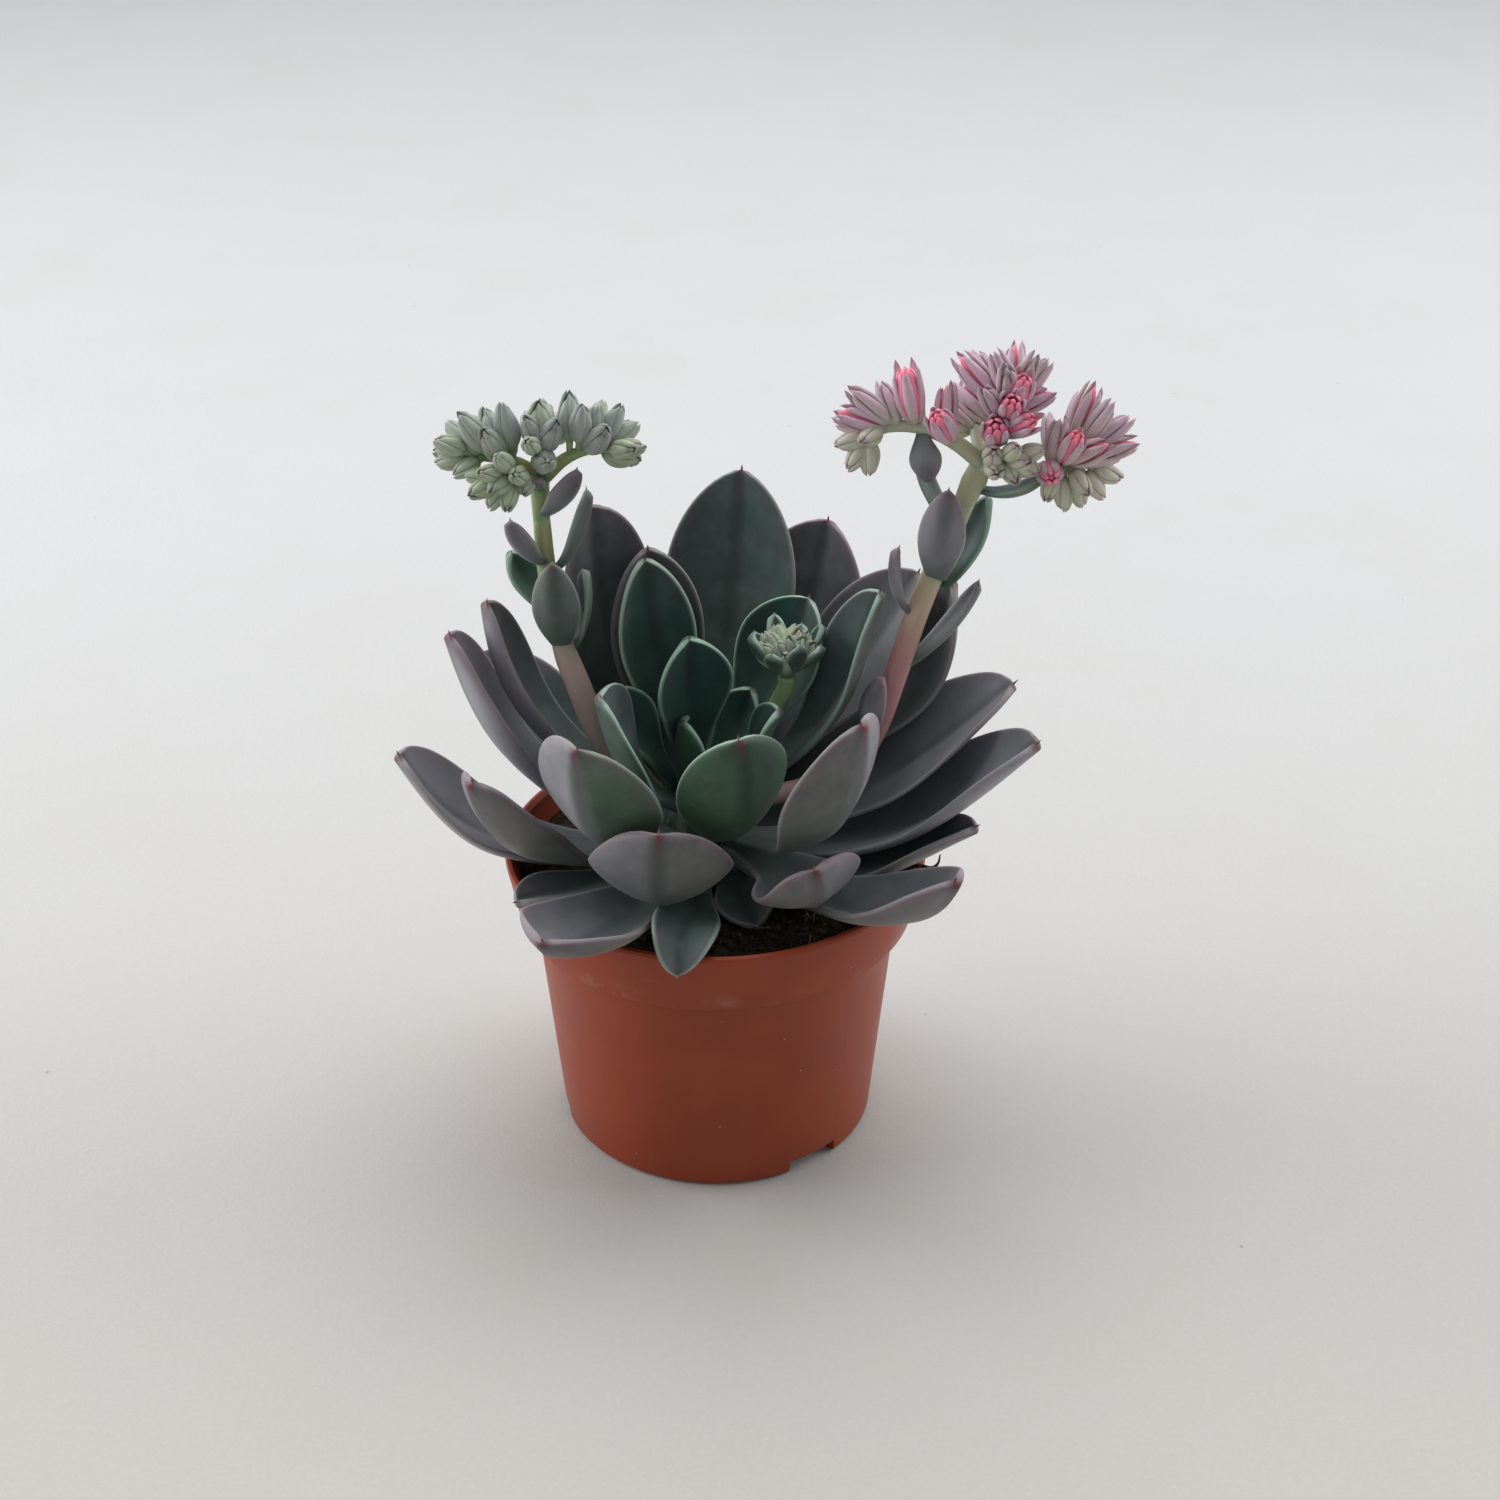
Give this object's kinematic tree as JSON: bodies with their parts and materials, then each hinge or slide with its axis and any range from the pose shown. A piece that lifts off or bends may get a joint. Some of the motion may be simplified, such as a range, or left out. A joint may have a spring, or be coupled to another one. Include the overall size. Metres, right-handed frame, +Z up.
{
  "type": "potted echeveria in flower",
  "caption": "Fleshy rosette succulent with grey-mauve and blue-green pointed leaves and branched flower stalks, leaning in a round terracotta-brown plastic nursery pot.",
  "frame": {"origin": "centre of the pot's base, on the flat underside of its middle boss, in the plane that the pot stands on", "axes": "+Z up along the pot's axis; +X to the right as the picture shows it; the rosette leans towards -Y, which is the side that faces the picture's camera"},
  "size_m": [0.1976, 0.1468, 0.2365],
  "materials": {
    "pot": "terracotta-brown moulded plastic, satin to matte, with fine pale specks and light scuffs",
    "peat": "damp dark brown peat potting mix with tan fibres, rough",
    "crown": "fleshy plant core, smooth, pale green",
    "outer_leaf": "fleshy leaf, grey-mauve with a matte waxy bloom, pink-purple margins and a dark red point",
    "middle_leaf": "fleshy leaf, blue-green to grey-mauve with a matte waxy bloom, pale margins and a dark red keel and point",
    "inner_leaf": "fleshy leaf, deep blue-green with a matte waxy bloom, thin pale mint margins and a dark red point",
    "left_stalk": "fleshy stalk and bracts, cream-pink below to bright green above",
    "right_stalk": "fleshy stalk and bracts, pink below to yellow-green above",
    "young_stalk": "fleshy young stalk, pale green",
    "left_buds": "grey-green mealy flower buds on pale green branches",
    "right_buds": "mauve-grey sepals and coral-pink flower buds on pale green branches",
    "young_buds": "tight pale green buds with mint bracts"
  },
  "bodies": {
    "root": {"pot": "pot", "soil": "peat", "stem": "crown", "leaf_low_01": "outer_leaf", "leaf_low_02": "outer_leaf", "leaf_low_03": "outer_leaf", "leaf_low_04": "outer_leaf", "leaf_low_05": "outer_leaf", "leaf_low_06": "outer_leaf", "leaf_low_07": "outer_leaf", "leaf_low_08": "outer_leaf", "leaf_low_09": "outer_leaf", "leaf_low_10": "outer_leaf", "leaf_low_11": "outer_leaf", "leaf_outer_01": "outer_leaf", "leaf_outer_02": "outer_leaf", "leaf_outer_03": "outer_leaf", "leaf_outer_04": "outer_leaf", "leaf_outer_05": "outer_leaf", "leaf_outer_06": "outer_leaf", "leaf_outer_07": "outer_leaf", "leaf_outer_08": "outer_leaf", "leaf_outer_09": "outer_leaf", "leaf_outer_10": "outer_leaf", "leaf_middle_01": "middle_leaf", "leaf_middle_02": "middle_leaf", "leaf_middle_03": "middle_leaf", "leaf_middle_04": "middle_leaf", "leaf_middle_05": "middle_leaf", "leaf_middle_06": "middle_leaf", "leaf_middle_07": "middle_leaf", "leaf_inner_01": "inner_leaf", "leaf_inner_02": "inner_leaf", "leaf_inner_03": "inner_leaf", "leaf_inner_04": "inner_leaf", "leaf_inner_05": "inner_leaf", "leaf_inner_06": "inner_leaf", "leaf_inner_07": "inner_leaf", "leaf_inner_08": "inner_leaf", "flower_stalk_left": "left_stalk", "flower_stalk_right": "right_stalk", "flower_stalk_young": "young_stalk", "flower_head_left": "left_buds", "flower_head_right": "right_buds", "flower_head_young": "young_buds"}
  },
  "joints": []
}
